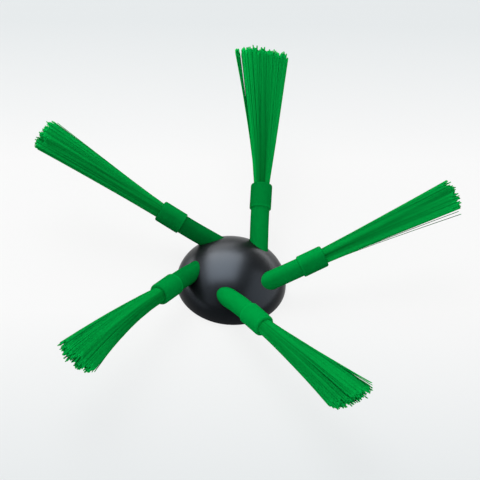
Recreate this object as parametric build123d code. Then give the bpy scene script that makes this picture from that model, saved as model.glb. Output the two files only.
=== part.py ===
from build123d import *
import math
import os

# A side brush with five arms: a domed hub that turns about Z, flexible arms that leave it to one
# side of the axis and rise, and a fan of bristles in the collar at the end of each arm.
# Millimetres, Z up, origin on the drive axis in the plane of the underside.

# Clearances
fit_gap = 0.05  # round a piece that sits in a hole or a socket
hole_gap = 0.1  # round an arm in the dome's slanted hole
clear_gap = 0.25  # between pieces that don't touch

# Bristles: a strand of the model stands for a few of the real ones
strand_width = 0.39
strand_gap = 0.05
strand_rings = 5  # rings of strands round the middle one
strand_shortfall = 4.5  # by how much the shortest strand of a fan falls short
strand_scatter = 0.45  # how far a strand's tip strays from its place in the fan
fan_flatness = 0.4  # the fan's thickness over its width

# Arms
collar_wall = 1.0
collar_step = 0.5
collar_length = 8.6
collar_chamfer = 0.3
socket_floor = 1.2
stem_bend_length = 8.1
bend_inset = 2.9  # how far inside the hub's outline a stem begins to bend
arm_rise = 20.0
first_arm_azimuth = 92.5
root_tail = 1.0
root_groove_width = 1.4
root_groove_depth = 0.7

# Each arm has taken its own set in use: how far its stem has stretched, how far it bends and its tuft
# then leans, sideways and upwards in degrees, and the width and length of its fan.
arms = [
    {"stretch": 2.0, "bend": (-1.5, 5.0), "lean": (2.5, 2.5), "fan": (18.5, 49.0)},
    {"stretch": -0.5, "bend": (1.5, 1.0), "lean": (-0.5, 0.0), "fan": (13.0, 47.0)},
    {"stretch": 0.0, "bend": (-0.5, -8.5), "lean": (0.0, 2.0), "fan": (16.0, 45.0)},
    {"stretch": -1.0, "bend": (1.5, -6.0), "lean": (2.0, 0.0), "fan": (15.5, 45.0)},
    {"stretch": 0.0, "bend": (-1.5, 2.0), "lean": (-0.5, 1.0), "fan": (14.0, 47.0)},
]

# Hub
hub_radius = 18.0
hub_wall = 1.7
rim_height = 0.6
rim_wall = 1.2
rim_round = 0.4
crown_room = 3.7  # free height over the boss
shoulder_share = 0.66  # radius of the dome's shoulder over its height
base_thickness = 1.0
base_chamfer = 0.25
drive_radius = 3.2
drive_depth = 6.8
drive_end_wall = 1.2
key_width = 2.0
key_depth = 0.9
boss_wall = 1.1
rib_side = 0.6  # how far a saddle stands out beside its arm

# The bundle of strands sizes the collar, the stem and the root
strand_pitch = strand_width + strand_gap
bundle_radius = strand_rings * strand_pitch + strand_width / math.sqrt(2) + strand_gap
socket_radius = bundle_radius + fit_gap
collar_radius = socket_radius + collar_wall
stem_radius = collar_radius - collar_step
groove_radius = stem_radius - root_groove_depth
rib_thickness = root_groove_width - 2 * fit_gap

# The arms pass beside the drive boss and lie on the base
rise = math.radians(arm_rise)
boss_radius = drive_radius + key_depth + boss_wall
boss_height = drive_depth + drive_end_wall
arm_offset = boss_radius + clear_gap + stem_radius
arm_height = base_thickness + fit_gap + stem_radius * math.cos(rise) + root_tail * math.sin(rise)
straight_length = math.sqrt(hub_radius**2 - arm_offset**2) / math.cos(rise) - bend_inset

# The dome is half of a flattened ball with room for the boss under it
dome_height = boss_height + crown_room + hub_wall - rim_height
shoulder_radius = shoulder_share * dome_height

on_end = (Align.CENTER, Align.CENTER, Align.MIN)


def heading(azimuth, lift):
    """A unit vector from its azimuth and its angle above the horizon, in degrees."""
    level = math.cos(math.radians(lift))
    turn = math.radians(azimuth)
    return Vector(level * math.cos(turn), level * math.sin(turn), math.sin(math.radians(lift)))


def across(direction):
    """The level unit vector to the left of a direction."""
    return Vector(-direction.Y, direction.X, 0).normalized()


def arm_frame(point, direction):
    """A plane at a point of an arm, with Z along the arm, X level and Y upwards."""
    return Plane(origin=point, x_dir=across(direction), z_dir=direction)


def rod(plane, radius, start, end):
    """A cylinder along a plane's Z, from one distance to another."""
    return plane * Pos(0, 0, start) * Cylinder(radius, end - start, align=on_end)


def half_ball(inset):
    """The dome on its short rim, shrunk by an inset: a crown arc and a tangent shoulder arc, turned about Z."""
    radius = hub_radius - inset
    height = dome_height - inset
    shoulder_middle = hub_radius - shoulder_radius
    rounding = shoulder_radius - inset
    crown_radius = (shoulder_middle**2 + height**2 - rounding**2) / (2 * (height - rounding))
    drop = crown_radius - height
    join = math.degrees(math.atan2(drop, shoulder_middle))
    shoulder = CenterArc((shoulder_middle, rim_height), rounding, 0, join)
    crown = CenterArc((0, rim_height - drop), crown_radius, join, 90 - join)
    sides = Polyline(crown @ 1, (0, 0), (radius, 0), shoulder @ 0)
    return revolve(Plane.XZ * make_face([shoulder, crown, *sides.edges()]), Axis.Z)


class Arm:
    """Where one arm's root, stem, collar and tuft lie."""

    def __init__(self, number):
        self.setting = arms[number]
        azimuth = first_arm_azimuth - number * 360 / len(arms)
        self.out = heading(azimuth, arm_rise)
        nearest = -arm_offset * across(self.out) + Vector(0, 0, arm_height)
        self.root = arm_frame(nearest, self.out)
        self.straight_end = straight_length + self.setting["stretch"]
        bend_side, bend_lift = self.setting["bend"]
        self.collar_out = heading(azimuth + bend_side, arm_rise + bend_lift)
        lean_side, lean_lift = self.setting["lean"]
        self.fan_out = heading(azimuth + bend_side + lean_side, arm_rise + bend_lift + lean_lift)
        start = nearest + self.straight_end * self.out
        turn = math.radians(self.out.get_angle(self.collar_out))
        chord = stem_bend_length * (math.sin(turn / 2) / (turn / 2) if turn else 1)
        end = start + chord * (self.out + self.collar_out).normalized()
        self.bend = TangentArc(start, end, tangent=self.out) if turn else Line(start, end)
        self.collar = arm_frame(end, self.collar_out)
        self.mouth = arm_frame(end + collar_length * self.collar_out, self.collar_out)


def make_sleeve(arm):
    """Root, stem and collar in one moulding, with a groove at the root and a socket in the collar."""
    root = rod(arm.root, stem_radius, -root_tail, arm.straight_end)
    groove = rod(arm.root, collar_radius, 0, root_groove_width)
    groove -= rod(arm.root, groove_radius, 0, root_groove_width)
    bend = sweep(arm_frame(arm.bend @ 0, arm.out) * Circle(stem_radius), path=arm.bend)
    collar = rod(arm.collar, collar_radius, 0, collar_length)
    collar = chamfer(collar.edges().filter_by(GeomType.CIRCLE), collar_chamfer)
    socket = rod(arm.collar, socket_radius, socket_floor, collar_length)
    return root - groove + bend + collar - socket


def strand_places():
    """The middle strand, then each ring of strands, as the ring's number and the angle round it."""
    yield 0, 0.0
    for ring in range(1, strand_rings + 1):
        for place in range(6 * ring):
            yield ring, 360.0 * place / (6 * ring)


def make_tuft(arm):
    """Strands that fan out from a round root to tips of uneven length, as one solid."""
    fan_width, fan_length = arm.setting["fan"]
    level = across(arm.fan_out)
    upwards = arm.fan_out.cross(level)
    golden_turn = math.pi * (3 - math.sqrt(5))
    strands = []
    for number, (ring, angle) in enumerate(strand_places()):
        turn = math.radians(angle)
        foot = Pos(ring * strand_pitch * math.cos(turn), ring * strand_pitch * math.sin(turn))
        section = arm.mouth * foot * Rot(0, 0, angle) * Rectangle(strand_width, strand_width)
        stray = number * golden_turn
        reach = ring / strand_rings * fan_width / 2
        sideways = reach * math.cos(turn) + strand_scatter * math.cos(stray)
        up = fan_flatness * (reach * math.sin(turn) + strand_scatter * math.sin(stray))
        tip = arm.mouth.origin + fan_length * arm.fan_out + sideways * level + up * upwards
        along = tip - section.center()
        shortfall = strand_shortfall * (stray / (2 * math.pi) % 1) ** 2
        length = along.length * (1 - shortfall / fan_length)
        strands.append(extrude(section, amount=length, dir=along))
    root = rod(arm.collar, bundle_radius, socket_floor, collar_length)
    return root.fuse(*strands)


def make_dome(all_arms):
    """The shell, with a seat for the base round its rim and a slanted hole for each arm."""
    outside = half_ball(0)
    outside = fillet(outside.edges().group_by(Axis.Z)[0], rim_round)
    seat = rod(Plane.XY, hub_radius - rim_wall, 0, base_thickness)
    dome = outside - half_ball(hub_wall) - seat
    for arm in all_arms:
        dome -= rod(arm.root, stem_radius + hole_gap, -root_tail, arm.straight_end + stem_bend_length)
    return dome


def make_base(all_arms):
    """The plate that closes the hub, with the drive boss and a saddle in each arm's groove."""
    plate = rod(Plane.XY, hub_radius - rim_wall - fit_gap, 0, base_thickness)
    plate = chamfer(plate.edges().group_by(Axis.Z)[0], base_chamfer)
    boss = rod(Plane.XY, boss_radius, 0, boss_height)
    room = half_ball(hub_wall + clear_gap)
    base = plate + (boss & room)
    for arm in all_arms:
        width = 2 * (stem_radius + rib_side)
        depth = 2 * arm_height
        rib = Box(width, depth, rib_thickness, align=(Align.CENTER, Align.MAX, Align.MIN))
        rib = arm.root * Pos(0, 0, fit_gap) * rib
        saddle = rod(arm.root, groove_radius + fit_gap, 0, root_groove_width)
        base += (rib - saddle) & room
    bore = rod(Plane.XY, drive_radius, 0, drive_depth)
    keys = Box(2 * (drive_radius + key_depth), key_width, drive_depth, align=on_end)
    return base - bore - keys


os.makedirs("parts", exist_ok=True)
brush_arms = [Arm(number) for number in range(len(arms))]
export_step(make_dome(brush_arms), "parts/hub_dome.step")
export_step(make_base(brush_arms), "parts/hub_base.step")
for number, arm in enumerate(brush_arms, start=1):
    export_step(make_sleeve(arm), f"parts/sleeve_{number}.step")
    export_step(make_tuft(arm), f"parts/tuft_{number}.step")
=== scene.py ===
import math

import bpy
import numpy as np
from mathutils import Matrix, Quaternion, Vector


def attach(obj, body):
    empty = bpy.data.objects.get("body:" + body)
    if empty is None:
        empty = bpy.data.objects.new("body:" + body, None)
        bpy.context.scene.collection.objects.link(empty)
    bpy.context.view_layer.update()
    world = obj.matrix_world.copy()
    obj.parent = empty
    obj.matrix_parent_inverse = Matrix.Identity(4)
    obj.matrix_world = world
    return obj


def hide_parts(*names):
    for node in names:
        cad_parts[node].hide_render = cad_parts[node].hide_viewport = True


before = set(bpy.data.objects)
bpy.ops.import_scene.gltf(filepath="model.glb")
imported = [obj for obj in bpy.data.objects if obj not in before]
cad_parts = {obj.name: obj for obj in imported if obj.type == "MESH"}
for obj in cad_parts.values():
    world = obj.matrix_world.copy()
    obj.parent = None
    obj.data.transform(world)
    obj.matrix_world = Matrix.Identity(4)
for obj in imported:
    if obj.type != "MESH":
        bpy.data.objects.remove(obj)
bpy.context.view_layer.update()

mm = 0.001  # sizes below are in mm unless a note says metres
scene = bpy.context.scene
print("frame loaded:", len(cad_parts), "nodes")


# small vector helpers

def unit(vectors):  # each vector over its own length
    return vectors / np.linalg.norm(vectors, axis=-1, keepdims=True)


def compass(angles):  # unit vectors in a plane, at angles in radians
    return np.stack([np.cos(angles), np.sin(angles)], -1)


def heading(azimuth, lift):  # unit vector at an azimuth from +X and an angle above the horizon, in degrees
    turn, rise = math.radians(azimuth), math.radians(lift)
    return np.array([math.cos(rise) * math.cos(turn), math.cos(rise) * math.sin(turn), math.sin(rise)])


def leftOf(directions):  # level unit vectors to the left of directions
    east, north = directions[..., 0], directions[..., 1]
    return unit(np.stack([-north, east, np.zeros_like(east)], -1))


# mesh and material helpers

def meshPiece(name, points, faces, material, smooth=True):  # points in mm, faces as lists of corner numbers
    mesh = bpy.data.meshes.new(name)
    mesh.from_pydata((points.reshape(-1, 3) * mm).tolist(), [], faces)
    mesh.polygons.foreach_set("use_smooth", np.full(len(mesh.polygons), smooth))
    mesh.materials.append(material)
    mesh.update()
    piece = bpy.data.objects.new(name, mesh)
    scene.collection.objects.link(piece)
    return piece


def setLayer(piece, name, kind, field, values):  # a value or vector at each point of a piece
    layer = piece.data.attributes.new(name, kind, "POINT")
    layer.data.foreach_set(field, values.ravel().astype(np.float32))


def tubeFaces(rows, columns):  # quads between a tube's rings, and a cap on its first and its last ring
    corner = np.arange(rows * columns).reshape(rows, columns)
    near, far = corner[:-1], corner[1:]
    quads = np.stack([near, np.roll(near, -1, 1), np.roll(far, -1, 1), far], -1)
    return quads.reshape(-1, 4), np.stack([corner[0, ::-1], corner[-1]])


def addNode(tree, kind, values=None, **settings):  # a node with its settings and its unlinked inputs
    node = tree.nodes.new(kind)
    for key, value in settings.items():
        setattr(node, key, value)
    for socket, value in (values or {}).items():
        node.inputs[socket].default_value = value
    return node


def newMaterial(name, values):  # Principled material with its fixed values on the shader's own sockets
    material = bpy.data.materials.new(name)
    material.use_nodes = True
    tree = material.node_tree
    shader = tree.nodes["Principled BSDF"]
    for socket, value in values.items():
        shader.inputs[socket].default_value = value
    return material, tree, shader


def blendColour(tree, mask, low, high):  # colour from low to high by a mask
    mix = addNode(tree, "ShaderNodeMix", data_type="RGBA")
    colourIn = [socket for socket in mix.inputs if socket.type == "RGBA"]
    colourIn[0].default_value = (*low, 1)
    colourIn[1].default_value = (*high, 1)
    tree.links.new(mask, mix.inputs["Factor"])
    return next(socket for socket in mix.outputs if socket.type == "RGBA")


def spread(tree, value, low, high):  # a 0 to 1 value spread from low to high
    node = addNode(tree, "ShaderNodeMapRange", {"To Min": low, "To Max": high})
    tree.links.new(value, node.inputs["Value"])
    return node.outputs["Result"]


def compute(tree, operation, first, second=0.0):  # Math node on a socket and a second socket or number
    node = addNode(tree, "ShaderNodeMath", operation=operation)
    tree.links.new(first, node.inputs[0])
    if isinstance(second, float):
        node.inputs[1].default_value = second
    else:
        tree.links.new(second, node.inputs[1])
    return node.outputs[0]


# moulded grain, shared by the hub's plastic and the arms' rubber

grainSet = {"fineDetail": 2.0, "patchDetail": 4.0, "patchRoughness": 0.6, "depth": 0.02}


def makeGrainGroup():  # fine height for the bump, broad mottle for colour and gloss
    group = bpy.data.node_groups.new("mouldedGrain", "ShaderNodeTree")
    for name, kind in (("Place", "Vector"), ("Grain", "Float"), ("Patch", "Float")):
        group.interface.new_socket(name, in_out="INPUT", socket_type="NodeSocket" + kind)
    for name in ("Height", "Mottle"):
        group.interface.new_socket(name, in_out="OUTPUT", socket_type="NodeSocketFloat")
    inside = addNode(group, "NodeGroupInput")
    outside = addNode(group, "NodeGroupOutput")
    fine = addNode(group, "ShaderNodeTexNoise", {"Detail": grainSet["fineDetail"]})
    broad = addNode(group, "ShaderNodeTexNoise",
                    {"Detail": grainSet["patchDetail"], "Roughness": grainSet["patchRoughness"]})
    for noise, size, result in ((fine, "Grain", "Height"), (broad, "Patch", "Mottle")):
        group.links.new(inside.outputs["Place"], noise.inputs["Vector"])
        group.links.new(inside.outputs[size], noise.inputs["Scale"])
        group.links.new(noise.outputs["Fac"], outside.inputs[result])
    return group


grainGroup = makeGrainGroup()


def mouldedFinish(name, finish):  # from a mould: grain as bump, mottle in colour and gloss
    material, tree, shader = newMaterial(name, finish["fixed"])
    place = addNode(tree, "ShaderNodeTexCoord")
    grain = addNode(tree, "ShaderNodeGroup", node_tree=grainGroup)
    grain.inputs["Grain"].default_value = finish["grain"]
    grain.inputs["Patch"].default_value = finish["patch"]
    tree.links.new(place.outputs["Object"], grain.inputs["Place"])
    mask = grain.outputs["Mottle"]
    if "mottle" in finish:  # the arms' tone attribute, which carries painted light and shade, with some of the mottle
        tone = addNode(tree, "ShaderNodeAttribute", attribute_name="tone")
        mottle = spread(tree, mask, -finish["mottle"], finish["mottle"])
        mask = compute(tree, "ADD", tone.outputs["Fac"], mottle)
    colour = blendColour(tree, mask, finish["dark"], finish["light"])
    gloss = spread(tree, grain.outputs["Mottle"], *finish["gloss"])
    bump = addNode(tree, "ShaderNodeBump", {"Strength": finish["bump"], "Distance": grainSet["depth"] * mm})
    tree.links.new(grain.outputs["Height"], bump.inputs["Height"])
    tree.links.new(colour, shader.inputs["Base Color"])
    tree.links.new(gloss, shader.inputs["Roughness"])
    tree.links.new(bump.outputs["Normal"], shader.inputs["Normal"])
    return material


# hub: the CAD dome and base keep their shape and get a satin moulded finish

hubFinish = {  # grain and patch are noise scales per metre
    "dark": (0.0016, 0.0020, 0.0022), "light": (0.0028, 0.0035, 0.0038),
    "gloss": (0.28, 0.34), "grain": 5200.0, "patch": 260.0, "bump": 0.12,
    "fixed": {"Specular IOR Level": 0.11, "Specular Tint": (0.71, 0.83, 1.0, 1.0)},
}
hubPlastic = mouldedFinish("hubPlastic", hubFinish)
for node in ("hub_dome", "hub_base"):
    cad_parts[node].data.materials.clear()
    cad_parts[node].data.materials.append(hubPlastic)
print("hub finished")


# arms: where each root, bend, collar and mouth lies

armLayout = {  # shared by the five arms, mm and degrees
    "firstAzimuth": 92.5, "rise": 20.0, "offset": 8.526, "height": 4.283,
    "straight": 13.97, "bend": 8.1, "collar": 8.6,
}
armSets = [  # stem's stretch, its bend and the tuft's lean (sideways, upwards), fan's width and length
    {"stretch": 2.0, "bend": (-1.5, 5.0), "lean": (2.5, 2.5), "fan": (18.5, 49.0)},
    {"stretch": -0.5, "bend": (1.5, 1.0), "lean": (-0.5, 0.0), "fan": (13.0, 47.0)},
    {"stretch": 0.0, "bend": (-0.5, -8.5), "lean": (0.0, 2.0), "fan": (16.0, 45.0)},
    {"stretch": -1.0, "bend": (1.5, -6.0), "lean": (2.0, 0.0), "fan": (15.5, 45.0)},
    {"stretch": 0.0, "bend": (-1.5, 2.0), "lean": (-0.5, 1.0), "fan": (14.0, 47.0)},
]


def placeArm(number, own):
    # the arms leave the hub evenly round it, each beside the hub's axis by the offset
    azimuth = armLayout["firstAzimuth"] - (number - 1) * 360 / len(armSets)
    collarAzimuth, collarLift = azimuth + own["bend"][0], armLayout["rise"] + own["bend"][1]
    arm = {"out": heading(azimuth, armLayout["rise"]), "collarOut": heading(collarAzimuth, collarLift)}
    arm["fanOut"] = heading(collarAzimuth + own["lean"][0], collarLift + own["lean"][1])
    arm["nearest"] = np.array([0, 0, armLayout["height"]]) - armLayout["offset"] * leftOf(arm["out"])
    arm["width"], arm["length"] = own["fan"]
    arm["straight"] = armLayout["straight"] + own["stretch"]
    arm["collarAt"] = arm["straight"] + armLayout["bend"]
    arm["mouthAt"] = arm["collarAt"] + armLayout["collar"]
    return arm


def armLine(arm, along):
    # straight root, circular bend, straight collar: place and direction at each distance along the arm
    turn = math.acos(arm["out"] @ arm["collarOut"])
    inwards = unit(arm["collarOut"] - math.cos(turn) * arm["out"])
    straight, bend = arm["straight"], armLayout["bend"]
    angle = turn * np.clip((along - straight) / bend, 0, 1)[:, None]
    before = np.minimum(along, straight)[:, None]
    after = np.maximum(along - straight - bend, 0)[:, None]
    arc = np.sin(angle) * arm["out"] + (1 - np.cos(angle)) * inwards
    place = arm["nearest"] + before * arm["out"] + bend / turn * arc + after * arm["collarOut"]
    return place, np.cos(angle) * arm["out"] + np.sin(angle) * inwards


# sleeves: root, stem and collar as one moulded tube

sleeveShape = {
    "stem": 3.076, "collar": 3.576, "socket": 2.576, "pole": 0.01,  # radii, the last where an end closes
    "tail": 1.0, "groove": 1.4, "grooveDepth": 0.7,
    "socketFloor": 1.2, "toneRow": 1.0,  # past the collar's start, the second a ring beyond the painted highlight at the step
    "rootEdge": 0.12, "edge": 0.32, "rowEdge": 0.1, "lip": 0.8, "mouthEdge": 0.15,  # rounding of corners
    "aroundSteps": 48, "rootEdgeSteps": 3, "edgeSteps": 5, "bendSteps": 10,
    "bendShare": 0.92,  # share of the bend that has rings before the collar's own
    "stemEnd": 0.05, "stepAt": 0.15, "stepWide": 0.25,  # from the collar's start: end of the stem's tone, place and width of the painted highlight at the step
    "stepHighlight": 0.8,  # gain of tone at the step: a painted highlight
    "paintedLightSide": (123.0, 60.0), "paintedLightFrom": 0.33, "paintedLightOver": 0.54,  # painted light on the side towards the soft box: azimuth and lift, start and ramp
    # painted shade below: the tone falls where the surface faces lower than underFrom
    "underFrom": 0.4, "paintedShadeBelow": 0.3,
}
sleeveTones = [  # tone of each arm's stem and collar, set arm by arm to how light falls on it, so painted light and shade; and how much painted light lifts their side towards the soft box
    {"tone": (0.43, 0.34), "pale": (0.0, 0.0)},
    {"tone": (0.36, 0.30), "pale": (0.38, 0.50)},
    {"tone": (0.70, 0.74), "pale": (0.08, 0.06)},
    {"tone": (0.25, 0.42), "pale": (0.10, 0.16)},
    {"tone": (0.00, 0.19), "pale": (0.22, 0.38)},
]
rubberFinish = {
    "dark": (0.0002, 0.100, 0.017), "light": (0.0004, 0.340, 0.056),
    "gloss": (0.42, 0.52), "grain": 4200.0, "patch": 420.0, "bump": 0.10, "mottle": 0.12,
    "fixed": {"Specular IOR Level": 0.0},
}
armRubber = mouldedFinish("armRubber", rubberFinish)


def softLine(corners, edge, steps):
    # line through corners, each corner cut back by its edge on both sides and joined by a parabola
    corners = np.array(corners, float)
    middle = corners[1:-1]
    edge = np.broadcast_to(edge, len(middle))[:, None]
    before = middle + edge * unit(corners[:-2] - middle)
    after = middle + edge * unit(corners[2:] - middle)
    t = np.linspace(0, 1, steps)[None, :, None]
    curve = (1 - t) ** 2 * before[:, None] + 2 * t * (1 - t) * middle[:, None] + t ** 2 * after[:, None]
    return np.concatenate([corners[:1], curve.reshape(-1, 2), corners[-1:]])


def sleeveProfile(arm):
    # distance along the arm and radius: grooved root, bend, then over the collar into its socket
    shape = sleeveShape
    stem, collar, socket, pole = (shape[key] for key in ("stem", "collar", "socket", "pole"))
    tail, groove, neck = -shape["tail"], shape["groove"], stem - shape["grooveDepth"]
    straight, start, mouth = arm["straight"], arm["collarAt"], arm["mouthAt"]
    toneRow, floor = start + shape["toneRow"], start + shape["socketFloor"]
    rootLine = softLine(
        [(tail, pole), (tail, stem), (0, stem), (0, neck), (groove, neck), (groove, stem),
         (straight, stem)],
        shape["rootEdge"], shape["rootEdgeSteps"])
    bendAt = straight + armLayout["bend"] * np.linspace(0, shape["bendShare"], shape["bendSteps"])[1:]
    bendLine = np.stack([bendAt, np.full_like(bendAt, stem)], 1)
    collarLine = softLine(
        [(straight, stem), (start, stem), (start, collar), (toneRow, collar), (mouth, collar),
         (mouth, socket), (floor, socket), (floor, pole)],
        [shape[key] for key in ("edge", "edge", "rowEdge", "lip", "mouthEdge", "edge")], shape["edgeSteps"])
    return np.concatenate([rootLine, bendLine, collarLine[1:]])


def sleeveTone(tones, pastCollar, across):
    # stem's or collar's tone, raised by a painted highlight at the step, plus a ramp of painted light on
    # the side towards the soft box, less painted shade below
    shape = sleeveShape
    onStem = pastCollar < -shape["stemEnd"]
    tone = np.where(onStem, *tones["tone"])[:, None]
    pale = np.where(onStem, *tones["pale"])[:, None]
    paintedGlint = np.exp(-((pastCollar - shape["stepAt"]) / shape["stepWide"]) ** 2)[:, None]
    lit = (across @ heading(*shape["paintedLightSide"]) - shape["paintedLightFrom"]) / shape["paintedLightOver"]
    under = shape["underFrom"] - across[..., 2]
    tone = tone * (1 + shape["stepHighlight"] * paintedGlint) + pale * np.clip(lit, 0, 1)
    return np.clip(tone - shape["paintedShadeBelow"] * np.clip(under, 0, 1), 0, 1)


def makeSleeve(number, arm, tones):
    # the profile turned about the arm's bent line: centre + radius (cos, sin) across it
    profile = sleeveProfile(arm)
    centre, along = armLine(arm, profile[:, 0])
    left = leftOf(along)
    up = np.cross(along, left)
    turn = np.linspace(0, 2 * np.pi, sleeveShape["aroundSteps"], endpoint=False)[None, :, None]
    across = np.cos(turn) * left[:, None] + np.sin(turn) * up[:, None]
    points = centre[:, None] + profile[:, 1][:, None, None] * across
    quads, caps = tubeFaces(*points.shape[:2])
    piece = meshPiece(f"arm_{number}", points, quads.tolist() + caps.tolist(), armRubber)
    setLayer(piece, "tone", "FLOAT", "value", sleeveTone(tones, profile[:, 0] - arm["collarAt"], across))
    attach(piece, "root")
    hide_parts(f"sleeve_{number}")
    return piece


# tufts: filaments that leave the collar as one bundle, fan out and gather in locks

tuftShape = {
    "strands": 900, "sides": 4, "steps": 8, "endShare": 0.03, "seed": 11,
    "bundle": 2.45, "rootDepth": 7.4, "flat": 0.4,  # bundle's radius and depth, fan's thickness over width
    "rootThick": 0.30, "tipThick": 0.44, "stray": 0.08, "bow": 0.06,
    "locks": 9, "lockPull": 0.10, "wisps": 90, "wispPull": 0.12,  # what strands gather in, and how far
    "uneven": 0.6, "cutBack": 2.0, "notches": 40,  # how the ends are cut
    "fringePower": 8, "cutPower": 6, "notchPower": 3,  # high powers leave the extremes to a few strands
    "looseThick": 0.65, "looseAngle": 0.05, "looseFoot": 0.97, "looseStray": 0.15, "givePower": 6,
    # random tone of each lock and strand; painted light on the loose strands, which face away from the
    # light, and on the cut ends, which lie in the strands' shade; lean of the cut ends' normals
    "lockTone": 0.16, "strandTone": 0.12, "loosePaintedLight": 0.2, "endPaintedLight": 0.40, "endLift": 0.5,
}
tuftSets = [
    # flare: power by which the fan opens
    # arch, sway: how far its middle and its tip lie to the left and upwards
    # longer: how far it reaches past the arm's set
    # cut: how much shorter its right and its lower strands are
    # notch: depth of the notches in its end
    # fringe: how far the longest strands reach past the others
    # round: how much shorter its sides are
    # tone: its base tone, set fan by fan to how much light falls on it: painted light and shade
    # across: direction in the section in which its painted shading bands lie side by side, degrees
    # bands of painted shading, dark valleys and light ridges and edges: place at the root and the tip, half
    # width, change of tone at the root and the tip
    # loose: strands' angle in the section and count, how far the fan gives way to them, how far the first
    # and the last one stand off, power by which that gap opens
    {"flare": 1.15, "arch": (0.0, 0.0), "sway": (0.5, 0.0), "longer": 0.4, "cut": (2.4, 1.6),
     "notch": 1.3, "fringe": 0.3, "round": -1.2, "tone": 0.74, "across": 180,
     "paintedShadingBands": [(-0.10, -0.05, 0.75, -0.76, -0.34), (0.22, -0.02, 0.08, -0.12, -0.06)],
     "loose": {"angle": 4, "count": 24, "give": 2.1, "first": -0.9, "last": 0.6, "power": 2}},
    {"flare": 1.10, "arch": (0.0, 0.0), "sway": (0.2, 0.2), "longer": 0.2, "cut": (0.0, 1.6),
     "notch": 2.4, "fringe": 0.8, "round": 0.0, "tone": 0.48, "across": 198,
     "paintedShadingBands": [(0.25, -0.30, 0.18, -0.32, -0.25), (0.45, 0.25, 0.28, -0.36, -0.14),
               (0.6, 0.6, 0.2, 0.0, 0.12), (-0.9, -0.85, 0.2, 0.04, 0.18)],
     "loose": {"angle": 222, "count": 2, "give": 0.4, "first": 0.8, "last": 2.1, "power": 1.6}},
    {"flare": 1.20, "arch": (0.3, 0.0), "sway": (0.7, 0.0), "longer": 2.1, "cut": (0.0, 4.0),
     "notch": 2.0, "fringe": 1.6, "round": 1.2, "tone": 0.53, "across": 195,
     "paintedShadingBands": [(-0.1, 0.0, 0.12, -0.26, -0.10), (0.5, 0.4, 0.4, -0.10, -0.08)],
     "loose": {"angle": 38, "count": 6, "give": 2.0, "first": 0.0, "last": 0.4, "power": 4}},
    {"flare": 1.30, "arch": (-0.5, 0.7), "sway": (-0.4, 0.0), "longer": 4.0, "cut": (3.0, 4.0),
     "notch": 3.0, "fringe": 1.6, "round": 1.4, "tone": 0.45, "across": 166,
     "paintedShadingBands": [(-0.6, -0.6, 0.5, -0.26, 0.08), (-0.45, -0.2, 0.25, -0.10, -0.22)],
     "loose": {"angle": 330, "count": 2, "give": 0.4, "first": 0.3, "last": 0.5, "power": 3}},
    {"flare": 1.10, "arch": (-0.3, 0.0), "sway": (-0.5, 0.2), "longer": -0.2, "cut": (0.0, 1.6),
     "notch": 1.8, "fringe": 0.6, "round": 0.0, "tone": 0.46, "across": 161,
     "paintedShadingBands": [(-0.5, -0.3, 0.55, -0.32, -0.08), (0.15, -0.36, 0.14, -0.26, -0.22),
               (0.95, -0.80, 0.08, -0.05, 0.28), (0.95, 0.95, 0.25, 0.15, 0.18)],
     "loose": {"angle": 146, "count": 1, "give": 0.0, "first": 0.2, "last": 0.2, "power": 8}},
]
bristleFinish = {
    "dark": (0.0006, 0.120, 0.018), "light": (0.0016, 0.540, 0.086), "gloss": (0.45, 0.60),
    "form": 0.8,  # how far the strands are shaded by the fan's form and not by their own
    "fixed": {"Specular IOR Level": 0.0},
}


def makeBristleNylon():  # tone sets colour and gloss, normals lean from each strand's own to the fan's form
    material, tree, shader = newMaterial("bristleNylon", bristleFinish["fixed"])
    tone = addNode(tree, "ShaderNodeAttribute", attribute_name="tone")
    colour = blendColour(tree, tone.outputs["Fac"], bristleFinish["dark"], bristleFinish["light"])
    gloss = spread(tree, tone.outputs["Fac"], *bristleFinish["gloss"])
    outward = addNode(tree, "ShaderNodeAttribute", attribute_name="outward")
    turned = addNode(tree, "ShaderNodeVectorTransform",
                     vector_type="NORMAL", convert_from="OBJECT", convert_to="WORLD")
    tree.links.new(outward.outputs["Vector"], turned.inputs[0])
    own = addNode(tree, "ShaderNodeNewGeometry")
    mix = addNode(tree, "ShaderNodeMix", {"Factor": bristleFinish["form"]}, data_type="VECTOR")
    vectorIn = [socket for socket in mix.inputs if socket.type == "VECTOR" and socket.enabled]
    tree.links.new(own.outputs["Normal"], vectorIn[-2])
    tree.links.new(turned.outputs[0], vectorIn[-1])
    even = addNode(tree, "ShaderNodeVectorMath", operation="NORMALIZE")
    tree.links.new(next(socket for socket in mix.outputs if socket.type == "VECTOR"), even.inputs[0])
    tree.links.new(colour, shader.inputs["Base Color"])
    tree.links.new(gloss, shader.inputs["Roughness"])
    tree.links.new(even.outputs["Vector"], shader.inputs["Normal"])
    return material


bristleNylon = makeBristleNylon()


def nearestSeed(points, seeds):  # number of the seed nearest to each point
    return np.argmin(np.linalg.norm(points[:, None] - seeds[None], axis=-1), axis=1)


def discPoints(rng, count):  # random points in a unit disc
    share = np.sqrt(rng.random(count))
    return share[:, None] * compass(2 * np.pi * rng.random(count))


def evenDisc(count):
    # points in a unit disc, each a golden angle on from the last, its distance the root of its number
    order = np.arange(count) + 0.5
    return np.sqrt(order / count)[:, None] * compass(order * math.pi * (3 - math.sqrt(5)))


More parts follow.
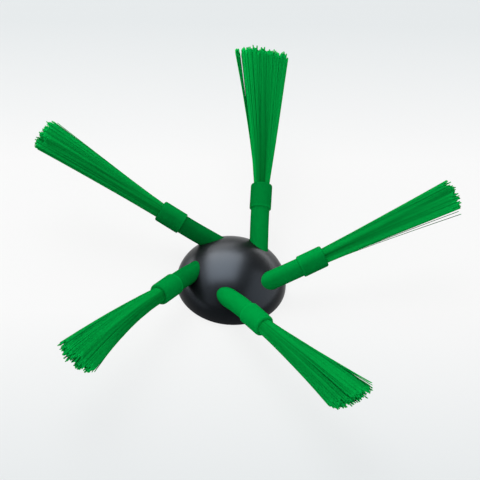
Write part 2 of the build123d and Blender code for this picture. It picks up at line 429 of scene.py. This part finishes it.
def fanStrands(own, half, rng):
    # foot: evenly in the bundle; spot: the foot pulled towards its lock and wisp
    # tip: the spot times the fan's half widths, swayed, and a little astray
    shape = tuftShape
    foot = evenDisc(shape["strands"])
    locks = discPoints(rng, shape["locks"])
    wisps = discPoints(rng, shape["wisps"])
    lock, wisp = nearestSeed(foot, locks), nearestSeed(foot, wisps)
    spot = foot + shape["lockPull"] * (locks[lock] - foot)
    spot = spot + shape["wispPull"] * (wisps[wisp] - spot)
    tip = spot * half + np.array(own["sway"]) + shape["stray"] * rng.normal(size=spot.shape)
    tone = own["tone"] + shape["lockTone"] * (rng.random(shape["locks"])[lock] - 0.5)
    return {"foot": foot, "spot": spot, "tip": tip, "away": np.zeros_like(tip),
            "tone": tone, "slim": np.ones(len(foot))}


def withLoose(strands, own, half, rng):
    # loose strands stand off on one side, the others give way by a power of how far they lie to that side
    shape, loose = tuftShape, own["loose"]
    count = loose["count"]
    side = compass(math.radians(loose["angle"]) + shape["looseAngle"] * rng.normal(size=count))
    middle = side.mean(axis=0)
    ahead = np.clip(strands["spot"] @ middle, 0, 1)[:, None]
    strands["away"] -= loose["give"] * ahead ** shape["givePower"] * middle
    tip = side * half + np.array(own["sway"]) + shape["looseStray"] * rng.normal(size=side.shape)
    # the loose strands get painted light on top of the fan's tone
    added = {"foot": shape["looseFoot"] * side, "spot": side, "tip": tip,
             "away": np.linspace(loose["first"], loose["last"], count)[:, None] * side,
             "tone": np.full(count, own["tone"] + shape["loosePaintedLight"]),
             "slim": np.full(count, shape["looseThick"])}
    return {key: np.concatenate([strands[key], added[key]]) for key in strands}


def strandReach(arm, own, strands, cross, rng):
    # share of the fan's length: 1 less an uneven, a slanted, a notched and a rounded cut,
    # less half the square of the strand's lean
    shape, cut = tuftShape, np.array(own["cut"])
    notch = np.clip((cross + 1) / 2 * shape["notches"], 0, shape["notches"] - 1).astype(int)
    early = rng.random(len(cross))
    short = shape["uneven"] * early - own["fringe"] * (1 - early) ** shape["fringePower"]
    short = short + shape["cutBack"] * rng.random(len(cross)) ** shape["cutPower"]
    short = short + (np.abs(cut).sum() - strands["foot"] @ cut) / 2
    short = short + own["notch"] * rng.random(shape["notches"])[notch] ** shape["notchPower"]
    short = short + own["round"] * cross ** 2
    lean = np.linalg.norm(strands["tip"], axis=1) / arm["length"]
    return 1 + (own["longer"] - short) / arm["length"] - lean ** 2 / 2


def strandLines(arm, own, strands, reach, section, rng):
    # axis: from the collar's direction into the fan's, a share t of its length
    # strand: axis + foot to tip by t^flare + standing off by a power of t + a bow of 4t(1 - t)
    shape = tuftShape
    stations = np.append(np.linspace(0, 1 - shape["endShare"], shape["steps"] - 1), 1)
    t = (stations[None, :] * reach[:, None])[..., None]
    blend, hump = t ** own["flare"], 4 * t * (1 - t)
    offset = strands["foot"][:, None] * shape["bundle"] * (1 - blend) + strands["tip"][:, None] * blend
    offset = offset + strands["away"][:, None] * t ** own["loose"]["power"]
    offset = offset + (shape["bow"] * rng.normal(size=(len(reach), 1, 2)) + np.array(own["arch"])) * hump
    mouth = armLine(arm, np.array([arm["mouthAt"]]))[0]
    swing = t * (1 - t) ** 2 * (arm["collarOut"] - arm["fanOut"])
    line = mouth + arm["length"] * (t * arm["fanOut"] + swing) + offset @ section
    root = line[:, :1] - shape["rootDepth"] * arm["collarOut"]
    along = t[..., 0]
    return np.concatenate([root, line], 1), np.concatenate([along[:, :1], along], 1)


def strandOutward(arm, strands, along, half, section):
    # gradient of the section's ellipse, which grows from the bundle's circle to the fan's oval
    oval = tuftShape["bundle"] + (half - tuftShape["bundle"]) * along[..., None]
    slope = strands["spot"][:, None] / oval
    outward = unit(slope @ section)
    outward[:, -1] = unit(arm["fanOut"] + tuftShape["endLift"] * section[1])  # the cut ends face outwards
    return outward


def strandTone(own, strands, along, cross, rng):
    # the strand's tone, changed by bands of painted shading that run along the fan, dark in valleys and
    # light on ridges, each a bell across the section
    tone = strands["tone"] + tuftShape["strandTone"] * (rng.random(len(cross)) - 0.5)
    tone = tone[:, None] + np.zeros_like(along)
    for nearPlace, farPlace, wide, nearShade, farShade in own["paintedShadingBands"]:
        off = cross[:, None] - nearPlace - (farPlace - nearPlace) * along
        tone = tone + (nearShade + (farShade - nearShade) * along) * np.exp(-(off / wide) ** 2)
    tone[:, -1] += tuftShape["endPaintedLight"]  # painted light on the cut ends, which lie in the strands' shade
    return np.clip(tone, 0, 1)


def makeTuft(number, arm, own):
    # each strand: a ring of a few sides carried along its line, thicker towards the tip
    shape = tuftShape
    rng = np.random.default_rng(shape["seed"] + number)
    half = np.array([1, shape["flat"]]) * arm["width"] / 2
    left = leftOf(arm["fanOut"])
    section = np.stack([left, np.cross(arm["fanOut"], left)])
    strands = withLoose(fanStrands(own, half, rng), own, half, rng)
    cross = strands["spot"] @ compass(math.radians(own["across"]))
    reach = strandReach(arm, own, strands, cross, rng)
    line, along = strandLines(arm, own, strands, reach, section, rng)
    tone = strandTone(own, strands, along, cross, rng)
    outward = strandOutward(arm, strands, along, half, section)
    ring = compass(np.linspace(0, 2 * np.pi, shape["sides"], endpoint=False)) @ section
    thick = shape["rootThick"] + (shape["tipThick"] - shape["rootThick"]) * along
    thick = strands["slim"][:, None] * thick
    points = line[:, :, None] + thick[..., None, None] / 2 * ring
    count, rows, columns = points.shape[:3]
    first = np.arange(count)[:, None, None] * rows * columns
    quads, caps = tubeFaces(rows, columns)
    faces = np.concatenate(quads + first).tolist() + np.concatenate(caps + first).tolist()
    piece = meshPiece(f"bristles_{number}", points, faces, bristleNylon)
    setLayer(piece, "tone", "FLOAT", "value", np.repeat(tone, columns, axis=1))
    setLayer(piece, "outward", "FLOAT_VECTOR", "vector", np.repeat(outward, columns, axis=1))
    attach(piece, "root")
    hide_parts(f"tuft_{number}")
    return piece


for number, (armSet, tones, tuftSet) in enumerate(zip(armSets, sleeveTones, tuftSets), 1):
    arm = placeArm(number, armSet)
    sleeve = makeSleeve(number, arm, tones)
    tuft = makeTuft(number, arm, tuftSet)
    print("arm", number, "made:", len(sleeve.data.polygons), "and", len(tuft.data.polygons), "faces")


# stage: pale floor, soft box behind and above, panels and strips that show in the hub's gloss, even fill

stageSet = {
    "floorSize": 6000.0, "floorDrop": 0.05, "middle": (0.939, 0.939, 0.939), "ends": (0.780, 0.810, 0.820),
    "bandSide": (-0.11, 1.0, 0.0), "bandMiddle": 23.0, "bandHalf": 35.0, "bandEnd": 112.0,  # a painted falloff of light: pale band through the middle
    "paleShare": 0.88, "fill": 0.62,
}
lampSets = [
    # azimuth, lift and turn about its own axis in degrees, distance and size in metres, radiance;
    # a glossy one shows in gloss alone, the others light matt surfaces alone
    {"name": "softBox", "azimuth": 123.0, "lift": 60.0, "distance": 0.6, "size": (0.42, 0.42), "turn": 0.0,
     "radiance": 3.5, "glossy": False},
    {"name": "frontFill", "azimuth": -80.0, "lift": 40.0, "distance": 0.8, "size": (0.8, 0.6), "turn": 0.0,
     "radiance": 1.0, "glossy": False},
    {"name": "mirrorPanel", "azimuth": 123.0, "lift": 62.5, "distance": 1.0, "size": (0.95, 1.22),
     "turn": -36.0, "radiance": 21.0, "glossy": True},
    {"name": "sidePanel", "azimuth": -8.0, "lift": 27.0, "distance": 1.0, "size": (1.2, 1.2), "turn": 0.0,
     "radiance": 4.7, "glossy": True},
    {"name": "backPanel", "azimuth": 102.0, "lift": 20.0, "distance": 1.0, "size": (0.6, 0.36), "turn": 0.0,
     "radiance": 4.8, "glossy": True},
    {"name": "leftPanel", "azimuth": 195.0, "lift": 25.0, "distance": 1.0, "size": (1.4, 1.1), "turn": 0.0,
     "radiance": 2.4, "glossy": True},
    {"name": "rightStrip", "azimuth": 48.0, "lift": 5.0, "distance": 1.0, "size": (1.0, 0.16), "turn": 0.0,
     "radiance": 6.8, "glossy": True},
    {"name": "leftStrip", "azimuth": 152.0, "lift": 9.0, "distance": 1.0, "size": (0.9, 0.30), "turn": 0.0,
     "radiance": 6.8, "glossy": True},
]


def mixShader(tree, share, first, second):  # from the first shader to the second by a share
    node = addNode(tree, "ShaderNodeMixShader")
    for source, socket in zip((share, first, second), node.inputs):
        tree.links.new(source, socket)
    return node.outputs[0]


def floorColour(tree):  # painted falloff of light: pale along a band through the picture's middle, a little darker beside it
    place = addNode(tree, "ShaderNodeTexCoord")
    along = addNode(tree, "ShaderNodeVectorMath", {1: stageSet["bandSide"]}, operation="DOT_PRODUCT")
    tree.links.new(place.outputs["Object"], along.inputs[0])
    off = compute(tree, "SUBTRACT", along.outputs["Value"], stageSet["bandMiddle"] * mm)
    fade = addNode(tree, "ShaderNodeMapRange",
                   {"From Min": stageSet["bandHalf"] * mm, "From Max": stageSet["bandEnd"] * mm})
    tree.links.new(compute(tree, "ABSOLUTE", off), fade.inputs["Value"])
    return blendColour(tree, fade.outputs["Result"], stageSet["middle"], stageSet["ends"])


def floorFinish():  # mostly its own pale colour where seen, matt for light and shadow, clear from below
    material = bpy.data.materials.new("paleFloor")
    material.use_nodes = True
    tree = material.node_tree
    tree.nodes.clear()
    colour = floorColour(tree)
    matt = addNode(tree, "ShaderNodeBsdfDiffuse")
    glow = addNode(tree, "ShaderNodeEmission")
    tree.links.new(colour, matt.inputs["Color"])
    tree.links.new(colour, glow.inputs["Color"])
    rays = addNode(tree, "ShaderNodeLightPath").outputs
    seen = compute(tree, "MAXIMUM", rays["Is Camera Ray"], rays["Is Glossy Ray"])
    seen = compute(tree, "MAXIMUM", seen, rays["Is Transmission Ray"])
    pale = compute(tree, "MULTIPLY", seen, stageSet["paleShare"])
    top = mixShader(tree, pale, matt.outputs[0], glow.outputs[0])
    side = addNode(tree, "ShaderNodeNewGeometry")
    clear = addNode(tree, "ShaderNodeBsdfTransparent")
    out = addNode(tree, "ShaderNodeOutputMaterial")
    whole = mixShader(tree, side.outputs["Backfacing"], top, clear.outputs[0])
    tree.links.new(whole, out.inputs["Surface"])
    return material


def makeFloor():  # a square just below the part
    half, level = stageSet["floorSize"] / 2, -stageSet["floorDrop"]
    corners = np.array([[-half, -half, level], [half, -half, level],
                        [half, half, level], [-half, half, level]])
    floor = meshPiece("floor", corners, [[0, 1, 2, 3]], floorFinish(), smooth=False)


def makeLamp(lampSet):  # area lamp that faces the origin, power = radiance x pi x area
    lamp = bpy.data.lights.new(lampSet["name"], "AREA")
    lamp.shape = "RECTANGLE"
    lamp.size, lamp.size_y = lampSet["size"]
    lamp.energy = lampSet["radiance"] * math.pi * lamp.size * lamp.size_y
    box = bpy.data.objects.new(lampSet["name"], lamp)
    direction = Vector(heading(lampSet["azimuth"], lampSet["lift"]))
    facing = direction.to_track_quat("Z", "Y")
    box.location = direction * lampSet["distance"]
    box.rotation_mode = "QUATERNION"
    box.rotation_quaternion = Quaternion(direction, math.radians(lampSet["turn"])) @ facing
    box.visible_camera = False
    box.visible_diffuse = not lampSet["glossy"]
    box.visible_glossy = lampSet["glossy"]
    scene.collection.objects.link(box)


def makeFill():  # the same white light from every side
    world = bpy.data.worlds.new("evenFill")
    world.use_nodes = True
    background = world.node_tree.nodes["Background"]
    background.inputs["Color"].default_value = (1, 1, 1, 1)
    background.inputs["Strength"].default_value = stageSet["fill"]
    scene.world = world


makeFloor()
for lampSet in lampSets:
    makeLamp(lampSet)
makeFill()
print("stage lit")


# camera at the photograph's angle

shot = {
    "elevation": 48.0, "roll": 4.7, "distance": 540.0,  # degrees, degrees, mm
    "aim": (2.94, 14.40),  # mm right of and above the hub's foot, in the picture
    "lens": 123.2, "sensor": 36.0, "clipStart": 10.0,
}


def makeCamera():  # from the elevation towards the aim, rolled about the view
    rise, roll = math.radians(shot["elevation"]), math.radians(shot["roll"])
    back = np.array([0, -math.cos(rise), math.sin(rise)])
    lift = np.array([0, math.sin(rise), math.cos(rise)])
    side = np.array([1.0, 0, 0])
    right = math.cos(roll) * side + math.sin(roll) * lift
    up = math.cos(roll) * lift - math.sin(roll) * side
    place = shot["distance"] * back
    view = unit(shot["aim"][0] * right + shot["aim"][1] * up - place)
    right = unit(right - (right @ view) * view)
    up = np.cross(right, view)
    data = bpy.data.cameras.new("camera")
    data.lens, data.sensor_width = shot["lens"], shot["sensor"]
    data.clip_start = shot["clipStart"] * mm
    camera = bpy.data.objects.new("camera", data)
    turned = np.eye(4)
    turned[:3, :3] = np.stack([right, up, -view], 1)
    turned[:3, 3] = place * mm
    camera.matrix_world = Matrix(turned.tolist())
    scene.collection.objects.link(camera)
    scene.camera = camera


makeCamera()
scene.view_settings.view_transform = "Standard"
